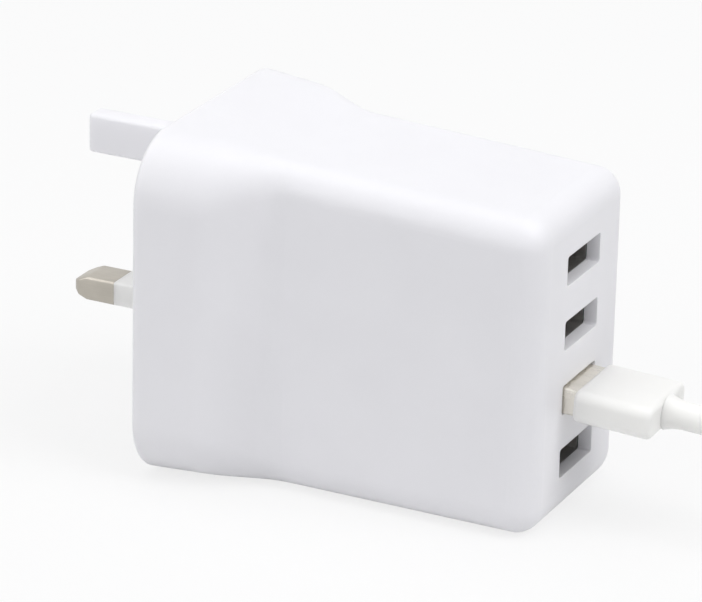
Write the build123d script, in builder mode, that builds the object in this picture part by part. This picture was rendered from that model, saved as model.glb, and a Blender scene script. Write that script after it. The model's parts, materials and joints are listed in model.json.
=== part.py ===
from build123d import *
import os
from math import cos, pi, radians, sin, tan

# Housing. Reaches run along +X from the plug face, heights run up from the bottom face.
body_length = 67.1
body_height = 56.8
height_taper = 3.3
body_width = 35.3
body_corner = 5.0
end_round = 4.4
base_width = 53.2
base_rise = 1.6
base_corner = 10.4
base_taper = 1.4
waist_start = 10.0
waist_end = 23.0
wall = 2.3
rim_wall = 1.5
rim_round = 0.8
waist_steps = 10

# Plug cover, set in the open end of the housing
cover_thickness = 2.4
cover_clearance = 0.1
skirt_depth = 4.0
skirt_thickness = 1.0
boss_depth = 5.4
boss_wall = 1.6
boss_corner = 0.8

# Mains pins to the three-pin pattern
pin_spacing_across = 22.2
pin_spacing_down = 22.2
power_pin_length = 17.7
power_pin_width = 6.35
power_pin_thickness = 4.0
pin_tip_length = 2.6
pin_tip_bevel = 1.1
pin_head_length = 1.2
pin_head_lip = 0.6
sleeve_length = 9.9
sleeve_wall = 0.7
earth_pin_drop = 9.3
earth_pin_length = 21.6
earth_pin_width = 4.0
earth_pin_thickness = 6.8
earth_tip_bevel = 0.5
earth_flange_width = 8.0
earth_flange_length = 1.5

# USB outlets, one above another on the end face
port_count = 4
port_pitch = 11.0
port_drop = 0.4
window_width = 12.9
window_height = 5.0
window_corner = 0.5
opening_width = 12.5
opening_height = 5.12
shell_sheet = 0.3
shell_bend = 0.7
shell_length = 13.8
shell_gap = 0.15
shell_peg_width = 1.6
shell_peg_reaches = (3.5, 10.5)
spring_slot_width = 1.6
spring_slot_length = 4.5
spring_slot_offset = 3.1
tongue_width = 11.1
tongue_thickness = 1.7
tongue_offset = 0.1
tongue_recess = 2.1
tongue_block = 4.2
contact_width = 1.0
contact_thickness = 0.3
contact_offsets = (-3.5, -1.0, 1.0, 3.5)
contact_setback = 0.8
contact_tail = 1.2

# Circuit board, standing on edge in rails
board_thickness = 1.6
board_start = 10.0
board_end_gap = 0.6
board_edge_gap = 0.2
rail_thickness = 1.2
rail_height = 1.8
rail_start = 15.0
rail_gap = 0.1
peg_hole_gap = 0.15

# Transformer
core_length = 20.0
core_height = 16.0
core_depth = 6.0
core_leg = 2.6
core_lift = 1.2
bobbin_wall = 1.0
bobbin_flange = 0.9
bobbin_depth = 11.0
bobbin_rail = 2.4
winding_inset = 0.6
winding_corner = 1.2
fit_gap = 0.15

# Other parts on the board
part_gap = 0.5
bulk_diameter = 10.0
bulk_length = 16.0
bulk_rise = 6.6
output_diameter = 8.0
output_length = 11.5
can_groove = 0.5
can_groove_height = 2.2
choke_outer = 9.0
choke_inner = 4.6
choke_height = 5.0
choke_wire = 0.9
filter_length = 10.4
filter_width = 5.5
filter_height = 11.0
case_round = 0.6
fuse_length = 8.4
fuse_width = 4.0
fuse_height = 7.6
varistor_diameter = 7.0
varistor_thickness = 3.6
varistor_rise = 5.0
disc_round = 0.8
bridge_length = 7.0
bridge_width = 6.4
bridge_height = 3.2
safety_diameter = 7.0
safety_thickness = 3.8
chip_length = 9.4
chip_width = 6.4
chip_height = 3.4
coupler_length = 4.6
coupler_width = 6.4
coupler_height = 3.4
sink_length = 9.0
sink_height = 13.0
sink_thickness = 1.5
rectifier_length = 7.0
rectifier_thickness = 3.2
rectifier_height = 11.0
rectifier_hole = 3.2

# Wires from the power pins to the board
wire_diameter = 1.9
wire_bend = 2.0
wire_reach = 11.8

# Lead plugged into the outlet that has this count of outlets above it
upper_port_count = 2
plug_shell_width = 12.0
plug_shell_height = 4.5
plug_shell_sheet = 0.3
plug_shell_bend = 0.6
plug_shell_inside = 7.4
plug_shell_seat = 2.0
plug_stand_off = 2.1
plug_droop = 2.7
plug_block_height = 1.65
plug_block_setback = 0.5
plug_latch_hole = 2.2
plug_latch_reach = 5.0
plug_latch_offset = 2.9
plug_body_width = 15.0
plug_body_height = 5.5
plug_body_length = 13.4
plug_body_corner = 1.7
plug_body_round = 0.9
relief_length = 11.0
relief_root = 6.0
relief_root_length = 3.4
relief_tip = 4.6
cord_diameter = 3.6
cord_first_run = 9.0
cord_points = ((92.5, -0.3, 17.0),)
cord_last_run = 9.5
cord_arc_share = 0.45

# Put-away length of the lead: a tied coil on the floor with the small plug beside it
coil_centre = (130.0, 14.0)
coil_layers = 4
coil_inner_turn = 14.4
coil_layer_turns = 2.0
coil_first_turns = 1.53
coil_entry_heading = -10.0
coil_corner = 1.6
coil_lead_length = 15.5
tie_width = 8.0
tie_thickness = 0.5
tie_gap = 0.1
small_body_length = 19.0
small_body_width = 10.4
small_body_height = 5.6
small_body_corner = 1.6
small_body_round = 0.8
small_relief_length = 8.0
small_relief_root = 4.4
small_relief_root_length = 2.7
small_shell_length = 5.0
small_shell_width = 6.9
small_shell_height = 1.9
small_shell_sheet = 0.25

# Places worked out from the sizes above
plug_face_x = (earth_pin_length - body_length) / 2
usb_face_x = plug_face_x + body_length
end_height = body_height - height_taper
earth_pin_height = body_height + base_rise - earth_pin_drop
power_pin_height = earth_pin_height - pin_spacing_down
top_port_height = end_height / 2 - port_drop + (port_count - 1) / 2 * port_pitch
port_heights = [top_port_height - i * port_pitch for i in range(port_count)]
shell_width = opening_width + 2 * shell_sheet
shell_height = opening_height + 2 * shell_sheet
shell_front = body_length - wall - shell_gap
shell_back = shell_front - shell_length
board_face_y = shell_width / 2
board_back_y = board_face_y + board_thickness
board_end = body_length - wall - board_end_gap
board_bottom = wall + board_edge_gap
board_top = end_height - wall - board_edge_gap


def section_plane(reach, height=0.0, across=0.0):
    """An upright plane across the charger, its own x along +Y and its own y along +Z."""
    return Plane(origin=(plug_face_x + reach, across, height), x_dir=(0, 1, 0), z_dir=(1, 0, 0))


def part_plane(lift=0.0):
    """The face of the board that carries the parts, its own x along +X and its own y along +Z."""
    return Plane(origin=(plug_face_x, board_face_y - lift, 0), x_dir=(1, 0, 0), z_dir=(0, -1, 0))


def waist_share(reach):
    """How far along the waist a reach lies, from 0 to 1."""
    return min(max((reach - waist_start) / (waist_end - waist_start), 0.0), 1.0)


def waist_ease(reach):
    """The share of the change from base to main body that is done at a reach, along an S-curve."""
    t = waist_share(reach)
    return 3 * t**2 - 2 * t**3


def section_height(reach):
    """Height of the housing's section: the base is raised, and the top slopes down to the outlets."""
    return body_height + base_rise * (1 - waist_ease(reach)) - height_taper * reach / body_length


def half_width(reach):
    """Half the width of the housing: a leaning base, then an S-curve in to the main body."""
    if reach <= waist_start:
        return base_width / 2 - base_taper * reach / waist_start
    t = waist_share(reach)
    lean = -base_taper / waist_start * (waist_end - waist_start)
    done = waist_ease(reach)
    base_end = base_width / 2 - base_taper
    return (1 - done) * base_end + (t**3 - 2 * t**2 + t) * lean + done * body_width / 2


def corner_radius(reach):
    """Corner radius of the housing's section, easing from the base's to the main body's."""
    return base_corner + (body_corner - base_corner) * waist_ease(reach)


def housing_section(reach, inset):
    """One section of the housing, moved in by an inset all round."""
    width = 2 * (half_width(reach) - inset)
    height = section_height(reach)
    with BuildSketch(section_plane(reach, height / 2)) as section:
        RectangleRounded(width, height - 2 * inset, corner_radius(reach) - inset)
    return section.sketch


def save(piece, name):
    """Label a finished piece and write it to its own file."""
    piece.part.label = name
    export_step(piece.part, f"parts/{name}.step")


os.makedirs("parts", exist_ok=True)
stations = [waist_end * i / waist_steps for i in range(waist_steps + 1)]
inner_length = body_length - wall

# Moulded housing: one deep shell, open at the plug end, with an outlet window for each socket
with BuildPart() as main_housing:
    loft(sections=[housing_section(reach, 0.0) for reach in stations])
    loft(sections=[housing_section(reach, 0.0) for reach in (waist_end, body_length)])
    fillet(main_housing.faces().sort_by(Axis.X)[-1].edges(), end_round)
    fillet(main_housing.faces().sort_by(Axis.X)[0].edges(), rim_round)
    loft(sections=[housing_section(reach, wall) for reach in stations], mode=Mode.SUBTRACT)
    loft(sections=[housing_section(reach, wall) for reach in (waist_end, inner_length)], mode=Mode.SUBTRACT)
    inner_end = main_housing.faces().filter_by(Axis.X).sort_by(Axis.X)[-2]
    fillet(inner_end.edges(), end_round - wall)
    extrude(housing_section(0.0, rim_wall), amount=cover_thickness, mode=Mode.SUBTRACT)
    with BuildSketch(section_plane(body_length)):
        with Locations(*[(0, height) for height in port_heights]):
            RectangleRounded(window_width, window_height, window_corner)
    extrude(amount=-2 * wall, mode=Mode.SUBTRACT)
    low_rail_top = wall + rail_height
    high_rail_bottom = end_height - wall - rail_height
    for lift, thickness in ((rail_gap, rail_thickness), (-board_thickness - rail_gap, -rail_thickness)):
        with BuildSketch(part_plane(lift)):
            with Locations(((rail_start + shell_back) / 2, (wall / 2 + low_rail_top) / 2)):
                Rectangle(shell_back - rail_start, low_rail_top - wall / 2)
            with BuildLine():
                Polyline(
                    (rail_start, high_rail_bottom),
                    (shell_back, high_rail_bottom),
                    (shell_back, section_height(shell_back) - wall / 2),
                    (rail_start, section_height(rail_start) - wall / 2),
                    close=True,
                )
            make_face()
        extrude(amount=thickness)
save(main_housing, "main_housing")

# Plug cover: a plate flush in the rim, with a locating skirt, pin bosses and board stops
power_pin_across = pin_spacing_across / 2
boss_width = power_pin_width + 2 * boss_wall
boss_thickness = power_pin_thickness + 2 * boss_wall
with BuildPart() as plug_cover:
    extrude(housing_section(0.0, rim_wall + cover_clearance), amount=cover_thickness)
    skirt_inset = wall + cover_clearance
    skirt_end = cover_thickness + skirt_depth
    skirt_width = 2 * (half_width(skirt_end) - skirt_inset)
    skirt_height = section_height(skirt_end) - 2 * skirt_inset
    with BuildSketch(section_plane(cover_thickness, section_height(skirt_end) / 2)):
        RectangleRounded(skirt_width, skirt_height, base_corner - skirt_inset)
        offset(amount=-skirt_thickness, mode=Mode.SUBTRACT)
    extrude(amount=skirt_depth)
    with BuildSketch(section_plane(cover_thickness, power_pin_height)):
        with Locations((-power_pin_across, 0), (power_pin_across, 0)):
            RectangleRounded(boss_width, boss_thickness, boss_corner)
    extrude(amount=boss_depth - cover_thickness)
    with BuildSketch(section_plane(0.0, power_pin_height)):
        with Locations((-power_pin_across, 0), (power_pin_across, 0)):
            Rectangle(power_pin_width, power_pin_thickness)
        with Locations((0, pin_spacing_down)):
            Rectangle(earth_pin_width, earth_pin_thickness)
    extrude(amount=boss_depth, mode=Mode.SUBTRACT)
save(plug_cover, "plug_cover")

# Earth pin: a solid moulded pin with a flange behind the cover
with BuildPart() as earth_pin:
    with BuildSketch(section_plane(cover_thickness, earth_pin_height)):
        Rectangle(earth_pin_width, earth_pin_thickness)
    extrude(amount=-(earth_pin_length + cover_thickness))
    chamfer(earth_pin.faces().sort_by(Axis.X)[0].edges(), earth_tip_bevel)
    with BuildSketch(section_plane(cover_thickness, earth_pin_height)):
        Rectangle(earth_flange_width, earth_pin_thickness)
    extrude(amount=earth_flange_length)
save(earth_pin, "earth_pin")

# Power pins: a bare blade, a thinner shank inside an insulating sleeve, and a head behind the cover
neck_width = power_pin_width - 2 * sleeve_wall
neck_thickness = power_pin_thickness - 2 * sleeve_wall
head_width = power_pin_width + 2 * pin_head_lip
head_thickness = power_pin_thickness + 2 * pin_head_lip
pin_head_end = boss_depth + pin_head_length
for name, side in (("line", -1), ("neutral", 1)):
    across = side * power_pin_across
    with BuildPart() as power_pin:
        with BuildSketch(section_plane(-sleeve_length, power_pin_height, across)):
            Rectangle(power_pin_width, power_pin_thickness)
        extrude(amount=-(power_pin_length - sleeve_length))
        tip_edges = power_pin.faces().sort_by(Axis.X)[0].edges()
        chamfer(tip_edges.filter_by(Axis.Y), pin_tip_length, pin_tip_bevel)
        chamfer(power_pin.faces().sort_by(Axis.X)[0].edges().filter_by(Axis.Z), pin_tip_bevel)
        with BuildSketch(section_plane(-sleeve_length, power_pin_height, across)):
            Rectangle(neck_width, neck_thickness)
        extrude(amount=sleeve_length + boss_depth)
        with BuildSketch(section_plane(boss_depth, power_pin_height, across)):
            RectangleRounded(head_width, head_thickness, pin_head_lip)
        extrude(amount=pin_head_length)
    save(power_pin, f"{name}_pin")

    with BuildPart() as pin_sleeve:
        with BuildSketch(section_plane(-sleeve_length, power_pin_height, across)):
            Rectangle(power_pin_width, power_pin_thickness)
            Rectangle(neck_width, neck_thickness, mode=Mode.SUBTRACT)
        extrude(amount=sleeve_length + boss_depth)
    save(pin_sleeve, f"{name}_pin_sleeve")

    # Wire from the pin's head, round to the face of the board on that side
    board_side_y = board_face_y if side < 0 else board_back_y
    pin_end = (plug_face_x + pin_head_end, across, power_pin_height)
    turn_point = (plug_face_x + wire_reach, across, power_pin_height)
    board_point = (plug_face_x + wire_reach, board_side_y, power_pin_height)
    with BuildPart() as pin_wire:
        with BuildLine() as wire_path:
            FilletPolyline(pin_end, turn_point, board_point, radius=wire_bend)
        with BuildSketch(Plane(origin=pin_end, x_dir=(0, 1, 0), z_dir=(1, 0, 0))):
            Circle(wire_diameter / 2)
        sweep(path=wire_path.line)
    save(pin_wire, f"{name}_wire")

# Circuit board on edge, with a slot for each socket peg
slot_width = shell_peg_width + 2 * peg_hole_gap
slot_height = shell_sheet + 2 * peg_hole_gap
with BuildPart() as main_board:
    with BuildSketch(part_plane()) as board_outline:
        with Locations(((board_start + board_end) / 2, (board_bottom + board_top) / 2)):
            Rectangle(board_end - board_start, board_top - board_bottom)
        chamfer(board_outline.vertices().group_by(Axis.X)[-1], end_round - wall)
        with Locations(*[(shell_front - reach, h) for h in port_heights for reach in shell_peg_reaches]):
            Rectangle(slot_width, slot_height, mode=Mode.SUBTRACT)
    extrude(amount=-board_thickness)
save(main_board, "main_board")

# USB sockets: a bent sheet shell on its edge, a black tongue block, and four contacts
tongue_middle = tongue_offset + tongue_thickness / 2
contact_middle = tongue_offset + contact_thickness / 2
contact_length = shell_length - tongue_recess - contact_setback
spring_slot_x = plug_face_x + shell_front - tongue_recess - spring_slot_length / 2
for number, height in enumerate(port_heights, start=1):
    with BuildPart() as usb_shell:
        with BuildSketch(section_plane(shell_front, height)):
            RectangleRounded(shell_width, shell_height, shell_bend)
            RectangleRounded(opening_width, opening_height, shell_bend - shell_sheet, mode=Mode.SUBTRACT)
        extrude(amount=-shell_length)
        with Locations(*[(spring_slot_x, side * spring_slot_offset, height) for side in (-1, 1)]):
            Box(spring_slot_length, spring_slot_width, 2 * shell_height, mode=Mode.SUBTRACT)
        with BuildSketch(part_plane()):
            with Locations(*[(shell_front - reach, height) for reach in shell_peg_reaches]):
                Rectangle(shell_peg_width, shell_sheet)
        extrude(amount=-2 * board_thickness)
    save(usb_shell, f"usb_shell_{number}")

    with BuildPart() as usb_tongue:
        with BuildSketch(section_plane(shell_back, height)):
            RectangleRounded(opening_width, opening_height, shell_bend - shell_sheet)
        extrude(amount=tongue_block)
        with BuildSketch(section_plane(shell_back, height + tongue_middle)):
            Rectangle(tongue_width, tongue_thickness)
        extrude(amount=shell_length - tongue_recess)
        with BuildSketch(section_plane(shell_back, height + contact_middle)):
            with Locations(*[(y, 0) for y in contact_offsets]):
                Rectangle(contact_width, contact_thickness)
        extrude(amount=contact_length, mode=Mode.SUBTRACT)
    save(usb_tongue, f"usb_tongue_{number}")

    with BuildPart() as usb_contacts:
        with BuildSketch(section_plane(shell_back - contact_tail, height + contact_middle)):
            with Locations(*[(y, 0) for y in contact_offsets]):
                Rectangle(contact_width, contact_thickness)
        extrude(amount=contact_length + contact_tail)
    save(usb_contacts, f"usb_contacts_{number}")

# Places of the parts on the board: rows stacked up from its bottom edge and filled from the plug end,
# a row along its top edge, and the output parts against the sockets
row_start = board_start + part_gap
wired_row_start = wire_reach + wire_diameter / 2 + part_gap
row_top = board_top + board_edge_gap - rail_height - part_gap
row_end = shell_back - contact_tail - part_gap
varistor_place = board_bottom + varistor_rise
fuse_place = varistor_place + (varistor_thickness + fuse_width) / 2 + part_gap
bulk_place = board_bottom + bulk_rise
bulk_reach = row_start + fuse_length + part_gap + bulk_diameter / 2
bulk_reaches = (bulk_reach, bulk_reach + bulk_diameter + part_gap)
transformer_reach = wired_row_start + core_length / 2
transformer_place = bulk_place + (bulk_diameter + bobbin_depth) / 2 + part_gap
third_row = transformer_place + bobbin_depth / 2 + part_gap
filter_reach = wired_row_start + filter_length / 2
chip_reach = filter_reach + (filter_length + chip_length) / 2 + part_gap
safety_reach = chip_reach + (chip_length + safety_diameter) / 2 + part_gap
choke_reach = row_start + choke_outer / 2 + choke_wire
choke_place = row_top - choke_outer / 2 - choke_wire
bridge_reach = choke_reach + choke_outer / 2 + choke_wire + part_gap + bridge_length / 2
coupler_reach = bridge_reach + (bridge_length + coupler_length) / 2 + part_gap
sink_reach = shell_back - part_gap - sink_length / 2
sink_place = row_top - sink_thickness / 2
rectifier_place = sink_place - (sink_thickness + rectifier_thickness) / 2
output_reach = row_end - output_diameter / 2
upper_output_place = rectifier_place - (rectifier_thickness + output_diameter) / 2 - part_gap
output_places = (transformer_place, upper_output_place)

# Transformer: a closed ferrite core round a bobbin, with the winding between the bobbin's flanges
core_window = (core_length - 4 * core_leg) / 2
core_window_height = core_height - 2 * core_leg
spool_width = 2 * core_leg + 2 * fit_gap + 2 * bobbin_wall
spool_depth = core_depth + 2 * fit_gap + 2 * bobbin_wall
flange_width = 2 * core_leg + 2 * core_window - 2 * fit_gap
spool_lift = core_lift + core_leg + fit_gap
spool_height = core_window_height - 2 * fit_gap
core_x = plug_face_x + transformer_reach
core_bottom = transformer_place - core_depth / 2
with BuildPart() as transformer_core:
    with BuildSketch(Plane(origin=(core_x, board_face_y - core_lift, core_bottom))):
        with Locations((0, -core_height / 2)):
            Rectangle(core_length, core_height)
        window_centre = core_leg + core_window / 2
        with Locations((-window_centre, -core_height / 2), (window_centre, -core_height / 2)):
            Rectangle(core_window, core_window_height, mode=Mode.SUBTRACT)
    extrude(amount=core_depth)
save(transformer_core, "transformer_core")

with BuildPart() as transformer_bobbin:
    with BuildSketch(part_plane(spool_lift)):
        with Locations((transformer_reach, transformer_place)):
            Rectangle(spool_width, spool_depth)
    extrude(amount=spool_height)
    flange_lifts = (spool_lift, spool_lift + spool_height - bobbin_flange)
    for lift in flange_lifts:
        with BuildSketch(part_plane(lift)):
            with Locations((transformer_reach, transformer_place)):
                Rectangle(flange_width, bobbin_depth)
        extrude(amount=bobbin_flange)
    foot_offset = (bobbin_depth - bobbin_rail) / 2
    foot_heights = (transformer_place - foot_offset, transformer_place + foot_offset)
    with BuildSketch(part_plane()):
        with Locations(*[(transformer_reach, height) for height in foot_heights]):
            Rectangle(flange_width, bobbin_rail)
    extrude(amount=spool_lift)
    with BuildSketch(part_plane(spool_lift)):
        with Locations((transformer_reach, transformer_place)):
            Rectangle(2 * core_leg + 2 * fit_gap, core_depth + 2 * fit_gap)
    extrude(amount=spool_height, mode=Mode.SUBTRACT)
save(transformer_bobbin, "transformer_bobbin")

winding_width = flange_width - 2 * winding_inset
winding_depth = bobbin_depth - 2 * winding_inset
with BuildPart() as transformer_winding:
    with BuildSketch(part_plane(spool_lift + bobbin_flange)):
        with Locations((transformer_reach, transformer_place)):
            RectangleRounded(winding_width, winding_depth, winding_corner)
            Rectangle(spool_width, spool_depth, mode=Mode.SUBTRACT)
    extrude(amount=spool_height - 2 * bobbin_flange)
save(transformer_winding, "transformer_winding")


def capacitor_can(name, reach, height, diameter, length):
    """A round can standing on the board, with its crimped groove near the foot."""
    with BuildPart() as can:
        with BuildSketch(part_plane()):
            with Locations((reach, height)):
                Circle(diameter / 2)
        extrude(amount=length)
        fillet(can.faces().sort_by(Axis.Y)[0].edges(), can_groove)
        with BuildSketch(part_plane(can_groove_height)):
            with Locations((reach, height)):
                Circle(diameter / 2)
                Circle(diameter / 2 - can_groove, mode=Mode.SUBTRACT)
        extrude(amount=can_groove, mode=Mode.SUBTRACT)
    save(can, name)


for number, reach in enumerate(bulk_reaches, start=1):
    capacitor_can(f"bulk_capacitor_{number}", reach, bulk_place, bulk_diameter, bulk_length)
for number, place in enumerate(output_places, start=1):
    capacitor_can(f"output_capacitor_{number}", output_reach, place, output_diameter, output_length)


def cased_part(name, reach, height, length, width, rise):
    """A moulded case standing on the board, rounded at its top."""
    with BuildPart() as case:
        with BuildSketch(part_plane()):
            with Locations((reach, height)):
                RectangleRounded(length, width, case_round)
        extrude(amount=rise)
        fillet(case.faces().sort_by(Axis.Y)[0].edges(), case_round / 2)
    save(case, name)


def disc_part(name, reach, height, diameter, thickness):
    """A coated disc standing on edge on the board, with its rim rounded."""
    disc_plane = Plane(origin=(plug_face_x + reach, board_face_y - diameter / 2, height - thickness / 2))
    with BuildPart() as disc:
        with BuildSketch(disc_plane):
            Circle(diameter / 2)
        extrude(amount=thickness)
        fillet(disc.edges().filter_by(GeomType.CIRCLE), disc_round)
    save(disc, name)


fuse_reach = row_start + fuse_length / 2
varistor_reach = row_start + varistor_diameter / 2
filter_place = third_row + filter_width / 2
chip_place = third_row + chip_width / 2
bridge_place = row_top - bridge_width / 2
coupler_place = row_top - coupler_width / 2
safety_place = third_row + safety_thickness / 2
cased_part("fuse", fuse_reach, fuse_place, fuse_length, fuse_width, fuse_height)
cased_part("filter_capacitor", filter_reach, filter_place, filter_length, filter_width, filter_height)
cased_part("switching_chip", chip_reach, chip_place, chip_length, chip_width, chip_height)
cased_part("bridge_rectifier", bridge_reach, bridge_place, bridge_length, bridge_width, bridge_height)
cased_part("optocoupler", coupler_reach, coupler_place, coupler_length, coupler_width, coupler_height)
disc_part("varistor", varistor_reach, varistor_place, varistor_diameter, varistor_thickness)
disc_part("safety_capacitor", safety_reach, safety_place, safety_diameter, safety_thickness)

# Mains filter choke: a ferrite ring lying on the board, with a winding on each half
with BuildPart() as choke_core:
    with BuildSketch(part_plane(choke_wire)):
        with Locations((choke_reach, choke_place)):
            Circle(choke_outer / 2)
            Circle(choke_inner / 2, mode=Mode.SUBTRACT)
    extrude(amount=choke_height)
save(choke_core, "choke_core")

with BuildPart() as choke_winding:
    with BuildSketch(part_plane()):
        with Locations((choke_reach, choke_place)):
            Circle(choke_outer / 2 + choke_wire)
            Circle(choke_inner / 2 - choke_wire, mode=Mode.SUBTRACT)
            Rectangle(2 * choke_outer, choke_wire * 2, mode=Mode.SUBTRACT)
    extrude(amount=choke_height + 2 * choke_wire)
    with BuildSketch(part_plane(choke_wire)):
        with Locations((choke_reach, choke_place)):
            Circle(choke_outer / 2)
            Circle(choke_inner / 2, mode=Mode.SUBTRACT)
    extrude(amount=choke_height, mode=Mode.SUBTRACT)
save(choke_winding, "choke_winding")

# Output rectifier against its aluminium plate
with BuildPart() as heat_sink:
    with BuildSketch(part_plane()):
        with Locations((sink_reach, sink_place)):
            Rectangle(sink_length, sink_thickness)
    extrude(amount=sink_height)
save(heat_sink, "heat_sink")

with BuildPart() as output_rectifier:
    with BuildSketch(part_plane()):
        with Locations((sink_reach, rectifier_place)):
            Rectangle(rectifier_length, rectifier_thickness)
    extrude(amount=rectifier_height)
    hole_y = board_face_y - rectifier_height + rectifier_hole
    with Locations(Plane(origin=(plug_face_x + sink_reach, hole_y, rectifier_place))):
        Hole(rectifier_hole / 2)
save(output_rectifier, "output_rectifier")

# Lead's plug in its outlet, drooping a little about the middle of the engaged length
plug_height = port_heights[upper_port_count]
plug_depth = plug_shell_inside + shell_gap + wall
droop = radians(plug_droop)
plug_pivot = Vector(usb_face_x - plug_depth / 2, 0, plug_height)
plug_direction = Vector(cos(droop), 0, -sin(droop))
plug_axis = Axis(plug_pivot, plug_direction)


def plug_plane(reach, rise=0.0):
    """A plane across the lead's plug at a reach from the housing's end face, its own x along +Y."""
    up = Vector(sin(droop), 0, cos(droop))
    origin = plug_pivot + plug_direction * (plug_depth / 2 + reach) + up * rise
    return Plane(origin=origin, x_dir=(0, 1, 0), z_dir=plug_direction)


plug_length = plug_depth + plug_stand_off + plug_shell_seat
plug_inner_height = plug_shell_height - 2 * plug_shell_sheet
plug_inner_width = plug_shell_width - 2 * plug_shell_sheet
plug_inner_bend = plug_shell_bend - plug_shell_sheet
with BuildPart() as lead_plug_shell:
    with BuildSketch(plug_plane(-plug_depth)):
        RectangleRounded(plug_shell_width, plug_shell_height, plug_shell_bend)
        RectangleRounded(plug_inner_width, plug_inner_height, plug_inner_bend, mode=Mode.SUBTRACT)
    extrude(amount=plug_length)
    with Locations(plug_plane(-plug_depth + plug_latch_reach)):
        with Locations((-plug_latch_offset, 0), (plug_latch_offset, 0)):
            Box(plug_latch_hole, 2 * plug_shell_height, plug_latch_hole, mode=Mode.SUBTRACT)
save(lead_plug_shell, "lead_plug_shell")

plug_block_rise = (plug_block_height - plug_inner_height) / 2
contact_rise = plug_block_rise + (plug_block_height - contact_thickness) / 2
block_length = plug_length - plug_block_setback
with BuildPart() as lead_plug_block:
    with BuildSketch(plug_plane(plug_block_setback - plug_depth, plug_block_rise)):
        Rectangle(plug_inner_width, plug_block_height)
    extrude(amount=block_length)
    long_edges = lead_plug_block.edges().filter_by(plug_axis)
    chamfer(long_edges.sort_by(Axis.Z)[:2], plug_inner_bend)
    with BuildSketch(plug_plane(plug_block_setback - plug_depth + contact_setback, contact_rise)):
        with Locations(*[(y, 0) for y in contact_offsets]):
            Rectangle(contact_width, contact_thickness)
    extrude(amount=block_length - contact_setback, mode=Mode.SUBTRACT)
save(lead_plug_block, "lead_plug_block")

with BuildPart() as lead_plug_contacts:
    with BuildSketch(plug_plane(plug_block_setback - plug_depth + contact_setback, contact_rise)):
        with Locations(*[(y, 0) for y in contact_offsets]):
            Rectangle(contact_width, contact_thickness)
    extrude(amount=block_length - contact_setback)
save(lead_plug_contacts, "lead_plug_contacts")

with BuildPart() as lead_plug_body:
    with BuildSketch(plug_plane(plug_stand_off)):
        RectangleRounded(plug_body_width, plug_body_height, plug_body_corner)
    extrude(amount=plug_body_length)
    ends = lead_plug_body.faces().sort_by(plug_axis)
    fillet(ends[-1].edges() + ends[0].edges(), plug_body_round)
    with BuildSketch(plug_plane(plug_stand_off)):
        RectangleRounded(plug_shell_width, plug_shell_height, plug_shell_bend)
    extrude(amount=plug_shell_seat, mode=Mode.SUBTRACT)
save(lead_plug_body, "lead_plug_body")

# Strain relief: a flared neck behind the plug's body, ending in a plain sleeve that the cord leaves
relief_start = plug_stand_off + plug_body_length
relief_plane = Plane(origin=plug_plane(relief_start).origin, x_dir=plug_direction, z_dir=(0, 1, 0))


def strain_relief(name, plane, length, root_length, root, tip):
    """A turned neck along the plane's own x, flared at its root by a hollow arc."""
    with BuildPart() as relief:
        with BuildSketch(plane):
            with BuildLine():
                Line((0, 0), (0, root / 2))
                TangentArc((root_length, tip / 2), (0, root / 2), tangent=(-1, 0))
                Line((root_length, tip / 2), (length, tip / 2))
                Line((length, tip / 2), (length, 0))
                Line((length, 0), (0, 0))
            make_face()
        revolve(axis=Axis(plane.origin, plane.x_dir))
    save(relief, name)


strain_relief(
    "lead_strain_relief",
    relief_plane,
    relief_length,
    relief_root_length,
    relief_root,
    relief_tip,
)

# Cord: out of the strain relief, then down to the top of the coil
cord_radius = cord_diameter / 2
relief_end = Vector(*relief_plane.origin) + plug_direction * relief_length
coil_heading = radians(coil_entry_heading)
coil_direction = Vector(cos(coil_heading), sin(coil_heading), 0)
coil_height = coil_layers * cord_diameter
coil_top = tie_thickness + coil_height
entry_turn = coil_inner_turn + coil_first_turns * cord_diameter
outer_turn = coil_inner_turn + coil_layer_turns * cord_diameter
coil_middle = Vector(coil_centre[0], coil_centre[1], coil_top - cord_radius)
entry_point = coil_middle + Vector(sin(coil_heading), -cos(coil_heading), 0) * entry_turn
lead_in = entry_point - coil_direction * coil_lead_length
cord_route = [relief_end, relief_end + plug_direction * cord_first_run]
cord_route += [Vector(*point) for point in cord_points]
cord_route += [lead_in - coil_direction * cord_last_run, lead_in]


def bend_radius(before, corner, after):
    """The largest arc that a corner of the cord's route leaves room for."""
    arriving = corner - before
    leaving = after - corner
    half_turn = radians(arriving.get_angle(leaving)) / 2
    return cord_arc_share * min(arriving.length, leaving.length) / tan(half_turn)


cord_radii = [bend_radius(*cord_route[i - 1:i + 2]) for i in range(1, len(cord_route) - 1)]
with BuildPart() as lead_cord:
    with BuildLine() as cord_path:
        FilletPolyline(*cord_route, radius=cord_radii)
    with BuildSketch(Plane(origin=relief_end, x_dir=(0, 1, 0), z_dir=plug_direction)):
        Circle(cord_radius)
    sweep(path=cord_path.line)
save(lead_cord, "lead_cord")
cord_run_length = sum(edge.length for edge in cord_path.edges())
print("cord bend radii", [round(radius, 1) for radius in cord_radii])
plain_volume = pi * cord_radius**2 * cord_run_length
print("cord volume over section times length", lead_cord.part.volume / plain_volume)

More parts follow.
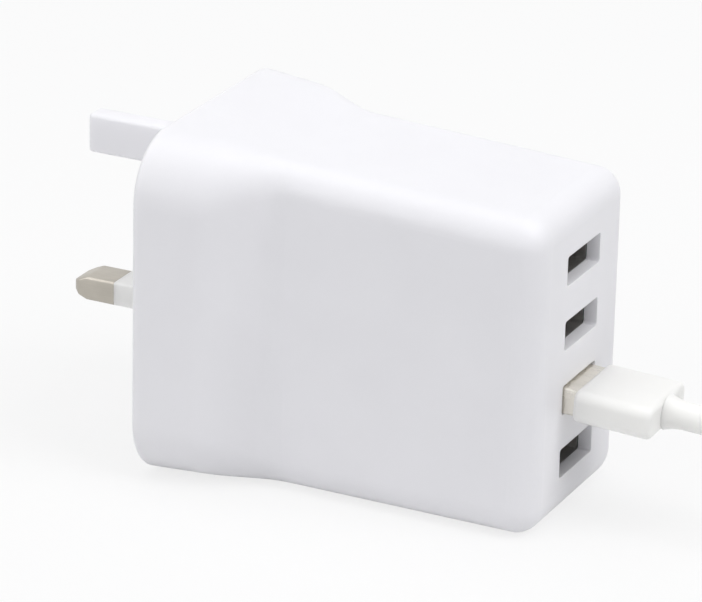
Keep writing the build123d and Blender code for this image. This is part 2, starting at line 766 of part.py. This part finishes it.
# Coil: the outer form of the wound turns, with the two straight ends that leave it
coil_out_point = Vector(coil_centre[0], coil_centre[1] + outer_turn, tie_thickness + cord_radius)
coil_plane = Plane(origin=(*coil_centre, tie_thickness), x_dir=(1, 0, 0), z_dir=(0, -1, 0))
coil_thickness = outer_turn - coil_inner_turn + cord_diameter
with BuildPart() as lead_coil:
    with BuildSketch(coil_plane):
        with Locations(((coil_inner_turn + outer_turn) / 2, coil_height / 2)):
            RectangleRounded(coil_thickness, coil_height, coil_corner)
    revolve(axis=Axis((*coil_centre, 0), (0, 0, 1)))
    with BuildSketch(Plane(origin=lead_in, x_dir=(0, 0, 1), z_dir=coil_direction)):
        Circle(cord_radius)
    extrude(amount=coil_lead_length)
    with BuildSketch(Plane(origin=coil_out_point, x_dir=(0, 1, 0), z_dir=(-1, 0, 0))):
        Circle(cord_radius)
    extrude(amount=coil_lead_length)
save(lead_coil, "lead_coil")

# Tie: a flat band round the coil's turns
coil_eye = coil_inner_turn - cord_radius
tie_start = (coil_eye**2 - (tie_width / 2) ** 2) ** 0.5 - tie_gap
tie_end = outer_turn + cord_radius + tie_gap
with BuildPart() as lead_tie:
    with BuildSketch(coil_plane):
        with Locations(((tie_start + tie_end) / 2, coil_height / 2)):
            Rectangle(tie_end - tie_start + 2 * tie_thickness, coil_height + 2 * tie_thickness)
            Rectangle(tie_end - tie_start, coil_height, mode=Mode.SUBTRACT)
    extrude(amount=tie_width / 2, both=True)
save(lead_tie, "lead_tie")

# Small plug at the lead's other end, lying on the floor beside the coil
small_relief_end = coil_out_point + Vector(-coil_lead_length, 0, 0)
small_relief_start = small_relief_end - Vector(small_relief_length, 0, 0)
strain_relief(
    "small_strain_relief",
    Plane(origin=small_relief_start, x_dir=(1, 0, 0), z_dir=(0, 1, 0)),
    small_relief_length,
    small_relief_root_length,
    small_relief_root,
    cord_diameter,
)


def small_plug_plane(reach):
    """A plane across the small plug, facing its tip, at a reach from the back of its body."""
    origin = (small_relief_start.X - reach, small_relief_start.Y, small_body_height / 2)
    return Plane(origin=origin, x_dir=(0, 1, 0), z_dir=(-1, 0, 0))


with BuildPart() as small_plug_body:
    with BuildSketch(small_plug_plane(0.0)):
        RectangleRounded(small_body_width, small_body_height, small_body_corner)
    extrude(amount=small_body_length)
    small_ends = small_plug_body.faces().sort_by(Axis.X)
    fillet(small_ends[0].edges() + small_ends[-1].edges(), small_body_round)
save(small_plug_body, "small_plug_body")

with BuildPart() as small_plug_shell:
    with BuildSketch(small_plug_plane(small_body_length)):
        Rectangle(small_shell_width, small_shell_height)
        offset(amount=-small_shell_sheet, mode=Mode.SUBTRACT)
    extrude(amount=small_shell_length)
save(small_plug_shell, "small_plug_shell")
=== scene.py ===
import json
from math import cos, pi, radians, sin

import bpy
from mathutils import Matrix, Vector


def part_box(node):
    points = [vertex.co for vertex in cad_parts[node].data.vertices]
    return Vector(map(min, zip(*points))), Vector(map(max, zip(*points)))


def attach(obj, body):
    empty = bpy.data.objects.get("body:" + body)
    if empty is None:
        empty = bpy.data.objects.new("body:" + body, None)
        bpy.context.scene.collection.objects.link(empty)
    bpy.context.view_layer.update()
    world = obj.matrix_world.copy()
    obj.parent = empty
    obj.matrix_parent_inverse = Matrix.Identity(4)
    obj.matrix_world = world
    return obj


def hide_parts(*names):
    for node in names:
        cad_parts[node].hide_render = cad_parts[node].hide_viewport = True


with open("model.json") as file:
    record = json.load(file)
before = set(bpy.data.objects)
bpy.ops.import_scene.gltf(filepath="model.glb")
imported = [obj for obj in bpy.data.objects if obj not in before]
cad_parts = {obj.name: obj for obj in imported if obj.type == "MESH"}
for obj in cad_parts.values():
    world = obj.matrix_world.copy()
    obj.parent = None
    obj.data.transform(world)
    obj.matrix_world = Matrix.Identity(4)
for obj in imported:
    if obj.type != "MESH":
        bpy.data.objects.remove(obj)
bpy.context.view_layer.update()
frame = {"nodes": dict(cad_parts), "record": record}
MM = 0.001

# Camera at the photograph's viewing angle
photo_width = 702
focal_pixels = 4500
film_width = 36
camera_eye = Vector((298.65, -615.2, 298.5)) * MM
camera_azimuth = 25.62
camera_elevation = 21.64
camera_roll = 1.38


def make_camera():
    bpy.ops.object.camera_add()
    camera = bpy.context.object
    heading = Matrix.Rotation(radians(camera_azimuth), 4, "Z")
    tilt = Matrix.Rotation(radians(90 - camera_elevation), 4, "X")
    roll = Matrix.Rotation(radians(camera_roll), 4, "Z")
    camera.matrix_world = Matrix.Translation(camera_eye) @ heading @ tilt @ roll
    camera.data.sensor_fit = "HORIZONTAL"
    camera.data.sensor_width = film_width
    camera.data.lens = film_width * focal_pixels / photo_width
    bpy.context.scene.camera = camera


make_camera()

# Materials: each finish is a shader with colour, roughness and relief from the piece's own coordinates
blend_span = (0.3, 0.7)
white_bleed = 0.5
bleed_reach = 1.5 * MM
skin_tint_scale = 60
skin_gloss_scale = 420
skin_grain_scale = 3200
skin_grain_depth = 0.02 * MM
metal_tint_scale = 240
draw_mark_scale = 5200
draw_mark_stretch = (0.06, 1, 1)
draw_mark_depth = 0.01 * MM
fired_grain_scale = 2600
fired_grain_depth = 0.05 * MM
wire_groove_depth = 0.1 * MM
board_roughness = 0.35
trace_scale = 160
trace_width = 0.06
trace_depth = 0.03 * MM


def new_finish(name, roughness, metallic=0.0):
    material = bpy.data.materials.new(name)
    material.use_nodes = True
    shader = material.node_tree.nodes["Principled BSDF"]
    shader.inputs["Metallic"].default_value = metallic
    shader.inputs["Roughness"].default_value = roughness
    return material, shader


def add_noise(material, scale, detail=2.0, stretch=(1, 1, 1)):
    """Noise on the piece's own coordinates, stretched along an axis where its value there is small."""
    tree = material.node_tree
    place = tree.nodes.new("ShaderNodeTexCoord")
    mapping = tree.nodes.new("ShaderNodeMapping")
    mapping.inputs["Scale"].default_value = stretch
    noise = tree.nodes.new("ShaderNodeTexNoise")
    noise.inputs["Scale"].default_value = scale
    noise.inputs["Detail"].default_value = detail
    tree.links.new(place.outputs["Object"], mapping.inputs["Vector"])
    tree.links.new(mapping.outputs["Vector"], noise.inputs["Vector"])
    return noise.outputs["Fac"]


def add_tint(material, shader, factor, first, second):
    """Colour that wanders between two tints."""
    tree = material.node_tree
    ramp = tree.nodes.new("ShaderNodeValToRGB")
    for stop, position, colour in zip(ramp.color_ramp.elements, blend_span, (first, second)):
        stop.position = position
        stop.color = (*colour, 1)
    tree.links.new(factor, ramp.inputs["Fac"])
    tree.links.new(ramp.outputs["Color"], shader.inputs["Base Color"])


def add_gloss(material, shader, factor, low, high):
    """Roughness that wanders between two values."""
    tree = material.node_tree
    spread = tree.nodes.new("ShaderNodeMapRange")
    for name, value in zip(("From Min", "From Max", "To Min", "To Max"), (*blend_span, low, high)):
        spread.inputs[name].default_value = value
    tree.links.new(factor, spread.inputs["Value"])
    tree.links.new(spread.outputs["Result"], shader.inputs["Roughness"])


def add_relief(material, shader, factor, depth, strength):
    """Fine relief of the surface."""
    tree = material.node_tree
    bump = tree.nodes.new("ShaderNodeBump")
    bump.inputs["Distance"].default_value = depth
    bump.inputs["Strength"].default_value = strength
    tree.links.new(factor, bump.inputs["Height"])
    tree.links.new(bump.outputs["Normal"], shader.inputs["Normal"])


def shade(colour, share):
    """A colour made darker, or lighter where the share is over 1."""
    return tuple(min(channel * share, 1.0) for channel in colour)


def moulded_plastic(name, colour, roughness):
    """Moulded skin with a fine grain."""
    material, shader = new_finish(name, roughness)
    patches = add_noise(material, skin_tint_scale)
    add_tint(material, shader, patches, shade(colour, 0.985), shade(colour, 1.01))
    add_gloss(material, shader, add_noise(material, skin_gloss_scale), roughness - 0.03, roughness + 0.03)
    grain = add_noise(material, skin_grain_scale, detail=1.0)
    add_relief(material, shader, grain, skin_grain_depth, 0.06)
    return material


def white_plastic(name, colour, roughness):
    """Moulded plastic with light that bleeds a little way under its skin."""
    material = moulded_plastic(name, colour, roughness)
    shader = material.node_tree.nodes["Principled BSDF"]
    shader.inputs["Subsurface Weight"].default_value = white_bleed
    shader.inputs["Subsurface Radius"].default_value = (1, 1, 1)
    shader.inputs["Subsurface Scale"].default_value = bleed_reach
    return material


def plated_metal(name, colour, roughness):
    """Sheet or bar metal with fine draw marks along X."""
    material, shader = new_finish(name, roughness, metallic=1.0)
    patches = add_noise(material, metal_tint_scale)
    add_tint(material, shader, patches, shade(colour, 0.93), shade(colour, 1.05))
    marks = add_noise(material, draw_mark_scale, detail=3.0, stretch=draw_mark_stretch)
    add_gloss(material, shader, marks, roughness - 0.06, roughness + 0.1)
    add_relief(material, shader, marks, draw_mark_depth, 0.12)
    return material


def sintered_block(name, colour, roughness):
    """Pressed and fired grain, darker in its pits."""
    material, shader = new_finish(name, roughness)
    grain = add_noise(material, fired_grain_scale, detail=4.0)
    add_tint(material, shader, grain, shade(colour, 0.7), shade(colour, 1.3))
    add_relief(material, shader, grain, fired_grain_depth, 0.4)
    return material


def wound_wire(name, colour, roughness, pitch):
    """Enamelled wire laid side by side, as bands that repeat every pitch along X."""
    material, shader = new_finish(name, roughness, metallic=0.6)
    tree = material.node_tree
    place = tree.nodes.new("ShaderNodeTexCoord")
    bands = tree.nodes.new("ShaderNodeTexWave")
    bands.bands_direction = "X"
    bands.inputs["Scale"].default_value = pi / (10 * pitch)
    bands.inputs["Distortion"].default_value = 0.4
    tree.links.new(place.outputs["Object"], bands.inputs["Vector"])
    add_tint(material, shader, bands.outputs["Fac"], shade(colour, 0.45), shade(colour, 1.1))
    add_relief(material, shader, bands.outputs["Fac"], wire_groove_depth, 0.6)
    return material


def coated_board(name, colour, trace):
    """Solder resist over copper, with the traces a little lighter than the ground."""
    material, shader = new_finish(name, board_roughness)
    tree = material.node_tree
    place = tree.nodes.new("ShaderNodeTexCoord")
    cells = tree.nodes.new("ShaderNodeTexBrick")
    cells.inputs["Scale"].default_value = trace_scale
    cells.inputs["Mortar Size"].default_value = trace_width
    cells.inputs["Color1"].default_value = (*colour, 1)
    cells.inputs["Color2"].default_value = (*shade(colour, 0.9), 1)
    cells.inputs["Mortar"].default_value = (*trace, 1)
    turn = tree.nodes.new("ShaderNodeMapping")
    turn.inputs["Rotation"].default_value = (radians(90), 0, 0)
    tree.links.new(place.outputs["Object"], turn.inputs["Vector"])
    tree.links.new(turn.outputs["Vector"], cells.inputs["Vector"])
    tree.links.new(cells.outputs["Color"], shader.inputs["Base Color"])
    add_relief(material, shader, cells.outputs["Fac"], trace_depth, 0.3)
    return material


housing_white = (0.83, 0.825, 0.852)
lead_white = (0.88, 0.875, 0.855)
nickel = (0.48, 0.45, 0.40)
steel = (0.62, 0.61, 0.59)
gold = (0.83, 0.62, 0.30)
black = (0.035, 0.034, 0.033)

slot_finishes = {
    "housing_plastic": white_plastic("satin_housing_plastic", housing_white, 0.42),
    "cover_plastic": white_plastic("cover_plastic", shade(housing_white, 0.99), 0.46),
    "earth_pin_plastic": white_plastic("earth_pin_plastic", shade(housing_white, 1.03), 0.4),
    "sleeve_plastic": white_plastic("pin_sleeve_plastic", shade(lead_white, 0.98), 0.45),
    "pin_metal": plated_metal("nickel_plated_brass", nickel, 0.4),
    "line_insulation": moulded_plastic("brown_wire_insulation", (0.20, 0.08, 0.035), 0.45),
    "neutral_insulation": moulded_plastic("blue_wire_insulation", (0.03, 0.09, 0.38), 0.45),
    "circuit_board": coated_board("green_circuit_board", (0.02, 0.12, 0.045), (0.05, 0.24, 0.09)),
    "socket_steel": plated_metal("tinned_socket_steel", steel, 0.38),
    "socket_insulator": moulded_plastic("black_socket_insulator", shade(black, 0.6), 0.5),
    "contact_metal": plated_metal("gold_plated_contact", gold, 0.28),
    "ferrite": sintered_block("grey_ferrite", (0.03, 0.03, 0.033), 0.6),
    "bobbin_plastic": moulded_plastic("black_bobbin_plastic", black, 0.48),
    "winding_tape": moulded_plastic("yellow_winding_tape", (0.68, 0.46, 0.03), 0.4),
    "copper_wire": wound_wire("enamelled_copper_wire", (0.55, 0.22, 0.08), 0.35, 0.6 * MM),
    "capacitor_sleeve": moulded_plastic("dark_capacitor_sleeve", (0.012, 0.014, 0.035), 0.3),
    "film_case": moulded_plastic("yellow_film_case", (0.66, 0.40, 0.02), 0.38),
    "disc_coating": moulded_plastic("blue_dipped_coating", (0.025, 0.12, 0.36), 0.32),
    "epoxy_case": sintered_block("black_epoxy_case", (0.014, 0.014, 0.015), 0.55),
    "sink_aluminium": plated_metal("cut_aluminium_plate", (0.76, 0.76, 0.77), 0.4),
    "plug_steel": plated_metal("nickel_plug_shell", (0.80, 0.77, 0.70), 0.3),
    "plug_insulator": white_plastic("white_plug_insulator", lead_white, 0.5),
    "lead_plastic": white_plastic("white_lead_plastic", lead_white, 0.36),
    "cord_jacket": white_plastic("white_cord_jacket", shade(lead_white, 0.98), 0.45),
    "tie_plastic": white_plastic("white_tie_plastic", shade(lead_white, 0.95), 0.5),
}


def dress(piece, slot):
    piece.data.materials.clear()
    piece.data.materials.append(slot_finishes[slot])


for entry in frame["record"]["subparts"]:
    dress(frame["nodes"][entry["node"]], entry["material_slot"])


def settle(piece, slot, *nodes):
    """Give a new piece its body and its finish, and hide the CAD nodes that it stands for."""
    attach(piece, "root")
    dress(piece, slot)
    if nodes:
        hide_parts(*nodes)


# Lead: the free run from the plug, then the put-away coil, top layer first
cord_diameter = 3.6 * MM
cord_route = [
    Vector(point) * MM
    for point in (
        (70.815, 0.0, 19.37),
        (79.805, 0.0, 18.946),
        (92.5, -0.3, 17.0),
        (101.92, -1.26, 13.1),
        (111.28, -2.91, 13.1),
    )
]
coil_centre = Vector((130.0, 14.0, 0.0)) * MM
coil_start_angle = -100
coil_layer_turns = (1.53, 2, 2, 2)
coil_layer_radii = [radius * MM for radius in (19.9, 14.4, 21.6, 14.4, 21.6)]
coil_top = 13.1 * MM
coil_drop_turns = 0.14
coil_turn_points = 24
coil_lead_out = 15.5 * MM


def coil_place(turned):
    """Where the coil's line is after a number of turns from its start."""
    height = coil_top
    done = 0
    radius = coil_layer_radii[-1]
    for layer, turns in enumerate(coil_layer_turns):
        if done <= turned <= done + turns:
            share = (turned - done) / turns
            radius = coil_layer_radii[layer] * (1 - share) + coil_layer_radii[layer + 1] * share
        done += turns
        if layer < len(coil_layer_turns) - 1:
            drop = min(max((turned - done) / coil_drop_turns + 0.5, 0), 1)
            height -= cord_diameter * drop * drop * (3 - 2 * drop)
    angle = radians(coil_start_angle) + 2 * pi * turned
    return coil_centre + Vector((radius * cos(angle), radius * sin(angle), height))


def make_cord():
    turns = sum(coil_layer_turns)
    steps = round(turns * coil_turn_points)
    line = cord_route + [coil_place(turns * step / steps) for step in range(steps + 1)]
    line.append(line[-1] - Vector((coil_lead_out, 0, 0)))
    curve = bpy.data.curves.new("lead_flex", "CURVE")
    curve.dimensions = "3D"
    spline = curve.splines.new("NURBS")
    spline.points.add(len(line) - 1)
    for point, place in zip(spline.points, line):
        point.co = (*place, 1)
        point.radius = cord_diameter / 2
    spline.order_u = 3
    spline.use_endpoint_u = True
    curve.resolution_u = 4
    curve.bevel_depth = 1.0
    curve.bevel_resolution = 6
    curve.use_fill_caps = True
    cord = bpy.data.objects.new("lead_flex", curve)
    bpy.context.scene.collection.objects.link(cord)
    settle(cord, "cord_jacket", "lead_cord", "lead_coil")
    return cord


lead_flex = make_cord()

# Modelling by hand: a box is brought to its place, then shaped by its faces and edges
same_place = 0.01 * MM
smooth_angle = 40


def on_corner(point, low, high):
    """True on one of the four long edges of a box along X."""
    return all(
        min(abs(point[axis] - low[axis]), abs(point[axis] - high[axis])) < same_place for axis in (1, 2)
    )


def start_box(name, low, high):
    """A cube brought to two opposite corners, left in edit mode."""
    bpy.ops.object.select_all(action="DESELECT")
    bpy.ops.mesh.primitive_cube_add(size=1)
    piece = bpy.context.object
    piece.name = name
    bpy.ops.object.mode_set(mode="EDIT")
    bpy.ops.mesh.select_all(action="SELECT")
    bpy.ops.transform.resize(value=high - low)
    bpy.ops.transform.translate(value=(low + high) / 2)
    return piece


def select_parts(piece, kind, choose):
    """Select the faces or edges of a piece in edit mode that a test chooses, and no others."""
    bpy.ops.mesh.select_mode(type=kind)
    bpy.ops.object.mode_set(mode="OBJECT")
    mesh = piece.data
    for parts in (mesh.vertices, mesh.edges, mesh.polygons):
        parts.foreach_set("select", [False] * len(parts))
    for part in mesh.polygons if kind == "FACE" else mesh.edges:
        part.select = choose(part)
    bpy.ops.object.mode_set(mode="EDIT")


def select_faces(piece, choose):
    select_parts(piece, "FACE", choose)


def select_edges(piece, choose):
    """Select the edges whose two end points pass a test."""
    points = piece.data.vertices
    select_parts(piece, "EDGE", lambda edge: choose(*(points[end].co for end in edge.vertices)))


def extrude(offset):
    bpy.ops.mesh.extrude_region_move(TRANSFORM_OT_translate={"value": offset})


def apply_modifier(piece, kind, **values):
    modifier = piece.modifiers.new(kind.lower(), kind)
    for name, value in values.items():
        setattr(modifier, name, value)
    bpy.ops.object.modifier_apply(modifier=modifier.name)


def finish_piece(piece, slot, *nodes):
    """Shade a modelled piece evenly across its soft edges, then settle it."""
    bpy.ops.object.shade_smooth_by_angle(angle=radians(smooth_angle))
    settle(piece, slot, *nodes)


# Tie: a soft band bent round the coil's turns
tie_corner = 1.5 * MM
tie_thickness = 0.5 * MM
tie_edge_round = 0.12 * MM


def make_tie():
    low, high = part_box("lead_tie")
    inset = Vector((tie_thickness / 2, 0, tie_thickness / 2))
    tie = start_box("coil_tie", low + inset, high - inset)
    select_faces(tie, lambda face: abs(face.normal.y) > 0.5)
    bpy.ops.mesh.delete(type="ONLY_FACE")
    select_edges(tie, lambda first, second: abs(first.y - second.y) > tie_corner)
    bpy.ops.mesh.bevel(offset=tie_corner, segments=6)
    bpy.ops.mesh.select_all(action="SELECT")
    bpy.ops.mesh.normals_make_consistent(inside=False)
    bpy.ops.object.mode_set(mode="OBJECT")
    apply_modifier(tie, "SOLIDIFY", thickness=tie_thickness, offset=0, use_even_offset=True)
    apply_modifier(
        tie, "BEVEL", width=tie_edge_round, segments=2, limit_method="ANGLE", angle_limit=radians(50)
    )
    finish_piece(tie, "tie_plastic", "lead_tie")


make_tie()

# Earth pin: soft moulded edges outside the plug face, square in its hole, with a flange behind
earth_pin_width = 4.0 * MM
earth_flange_depth = 1.5 * MM
earth_pin_round = 0.7 * MM
earth_hole_depth = 0.05 * MM


def make_earth_pin():
    low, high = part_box("earth_pin")
    plug_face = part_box("plug_cover")[0].x
    flange_face = high.x - earth_flange_depth
    half_width = earth_pin_width / 2
    pin = start_box(
        "soft_earth_pin", Vector((low.x, -half_width, low.z)), Vector((plug_face, half_width, high.z))
    )
    reached = plug_face
    for stop in (plug_face + earth_hole_depth, flange_face, high.x):
        select_faces(pin, lambda face: face.normal.x > 0.5)
        extrude((stop - reached, 0, 0))
        reached = stop
    for side in (-1, 1):
        select_faces(pin, lambda face: face.normal.y * side > 0.5 and face.center.x > flange_face)
        extrude((0, side * (high.y - half_width), 0))
    select_edges(pin, lambda first, second: min(first.x, second.x) < low.x + same_place)
    bpy.ops.mesh.bevel(offset=earth_pin_round, segments=4)
    bpy.ops.object.mode_set(mode="OBJECT")
    finish_piece(pin, "earth_pin_plastic", "earth_pin")


make_earth_pin()

# Power pins and their sleeves: copies of the CAD nodes with soft edges
power_pin_round = 0.35 * MM


def make_soft_copy(node, slot, choose):
    """A merged copy of a CAD node with the edges that a test chooses rounded."""
    piece = bpy.data.objects.new(f"soft_{node}", frame["nodes"][node].data.copy())
    bpy.context.scene.collection.objects.link(piece)
    bpy.ops.object.select_all(action="DESELECT")
    piece.select_set(True)
    bpy.context.view_layer.objects.active = piece
    bpy.ops.object.mode_set(mode="EDIT")
    bpy.ops.mesh.select_all(action="SELECT")
    bpy.ops.mesh.customdata_custom_splitnormals_clear()
    bpy.ops.mesh.remove_doubles(threshold=same_place)
    bpy.ops.mesh.dissolve_limited(angle_limit=radians(1))
    select_edges(piece, choose)
    bpy.ops.mesh.bevel(offset=power_pin_round, segments=3)
    bpy.ops.object.mode_set(mode="OBJECT")
    finish_piece(piece, slot, node)


def make_power_pins():
    for pin in ("line_pin", "neutral_pin"):
        low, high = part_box(f"{pin}_sleeve")
        make_soft_copy(pin, "pin_metal", lambda first, second: min(first.x, second.x) < low.x - same_place)
        make_soft_copy(
            f"{pin}_sleeve", "sleeve_plastic",
            lambda first, second: abs(first.x - second.x) > same_place
            and on_corner(first, low, high) and on_corner(second, low, high),
        )


make_power_pins()

# Small plug's mouth: a flat shell with its lower corners cut away, and the tongue inside it
mouth_wall = 0.25 * MM
mouth_depth = 4.2 * MM
mouth_lower_cut = 0.6 * MM
mouth_upper_round = 0.3 * MM
tongue_clearance = 0.35 * MM
tongue_setback = 0.6 * MM
tongue_round = 0.1 * MM


def make_small_mouth():
    low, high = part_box("small_plug_shell")
    middle = (low.z + high.z) / 2
    shell = start_box("small_plug_mouth", low, high)
    for lower, width, segments in ((True, mouth_lower_cut, 1), (False, mouth_upper_round, 4)):
        select_edges(
            shell,
            lambda first, second: first.x != second.x and on_corner(first, low, high)
            and (first.z < middle) == lower,
        )
        bpy.ops.mesh.bevel(offset=width, segments=segments)
    select_faces(shell, lambda face: face.normal.x < -0.5)
    bpy.ops.mesh.inset(thickness=mouth_wall)
    extrude((mouth_depth, 0, 0))
    bpy.ops.object.mode_set(mode="OBJECT")
    finish_piece(shell, "plug_steel", "small_plug_shell")


def make_small_tongue():
    low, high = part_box("small_plug_shell")
    gap = mouth_wall + tongue_clearance
    tongue = start_box(
        "small_plug_tongue",
        Vector((low.x + tongue_setback, low.y + gap + mouth_lower_cut, low.z + gap)),
        Vector((low.x + mouth_depth, high.y - gap - mouth_lower_cut, high.z - gap)),
    )
    bpy.ops.object.mode_set(mode="OBJECT")
    apply_modifier(tongue, "BEVEL", width=tongue_round, segments=3)
    finish_piece(tongue, "socket_insulator")


make_small_mouth()
make_small_tongue()

# Floor, world and lamps
floor_size = 6.0
floor_colour = (0.8, 0.8, 0.8)
floor_roughness = 0.8
floor_glow = 0.77
ambient_colour = (0.97, 0.98, 1.0)
ambient_strength = 0.42
lamp_target = Vector((0, 0, 0.03))


def seen_rays(tree):
    """1 on rays that come from the camera or from a gloss or clear surface, else 0."""
    path = tree.nodes.new("ShaderNodeLightPath")
    total = path.outputs["Is Camera Ray"]
    for name in ("Is Glossy Ray", "Is Transmission Ray"):
        largest = tree.nodes.new("ShaderNodeMath")
        largest.operation = "MAXIMUM"
        tree.links.new(total, largest.inputs[0])
        tree.links.new(path.outputs[name], largest.inputs[1])
        total = largest.outputs["Value"]
    return total


def make_floor():
    bpy.ops.object.select_all(action="DESELECT")
    bpy.ops.mesh.primitive_plane_add(size=floor_size)
    floor = bpy.context.object
    floor.name = "studio_floor"
    material = bpy.data.materials.new("pale_floor")
    material.use_nodes = True
    tree = material.node_tree
    shader = tree.nodes["Principled BSDF"]
    shader.inputs["Base Color"].default_value = (*floor_colour, 1)
    shader.inputs["Roughness"].default_value = floor_roughness
    glow = tree.nodes.new("ShaderNodeEmission")
    share = tree.nodes.new("ShaderNodeMath")
    share.operation = "MULTIPLY"
    share.inputs[1].default_value = floor_glow
    blend = tree.nodes.new("ShaderNodeMixShader")
    tree.links.new(seen_rays(tree), share.inputs[0])
    tree.links.new(share.outputs["Value"], blend.inputs["Fac"])
    tree.links.new(shader.outputs["BSDF"], blend.inputs[1])
    tree.links.new(glow.outputs["Emission"], blend.inputs[2])
    tree.links.new(blend.outputs["Shader"], tree.nodes["Material Output"].inputs["Surface"])
    floor.data.materials.append(material)


def make_world():
    world = bpy.data.worlds.new("studio")
    bpy.context.scene.world = world
    world.use_nodes = True
    tree = world.node_tree
    light = tree.nodes["Background"]
    light.inputs["Color"].default_value = (*ambient_colour, 1)
    light.inputs["Strength"].default_value = ambient_strength
    backdrop = tree.nodes.new("ShaderNodeBackground")
    backdrop.inputs["Color"].default_value = (1, 1, 1, 1)
    blend = tree.nodes.new("ShaderNodeMixShader")
    tree.links.new(seen_rays(tree), blend.inputs["Fac"])
    tree.links.new(light.outputs["Background"], blend.inputs[1])
    tree.links.new(backdrop.outputs["Background"], blend.inputs[2])
    tree.links.new(blend.outputs["Shader"], tree.nodes["World Output"].inputs["Surface"])


def make_lamp(name, place, size, power):
    """A square soft box that faces the charger."""
    bpy.ops.object.light_add(type="AREA", location=place)
    lamp = bpy.context.object
    lamp.name = name
    lamp.data.size = size
    lamp.data.energy = power
    lamp.rotation_euler = (lamp_target - Vector(place)).to_track_quat("-Z", "Y").to_euler()


make_floor()
make_world()
make_lamp("top_soft_box", (-0.2, -0.05, 1.3), 1.2, 6.7)
make_lamp("outlet_side_soft_box", (1.0, -0.05, 1.25), 0.9, 10.6)
make_lamp("near_soft_box", (-0.85, -1.1, 0.7), 0.9, 4.4)

bpy.context.scene.view_settings.view_transform = "Standard"
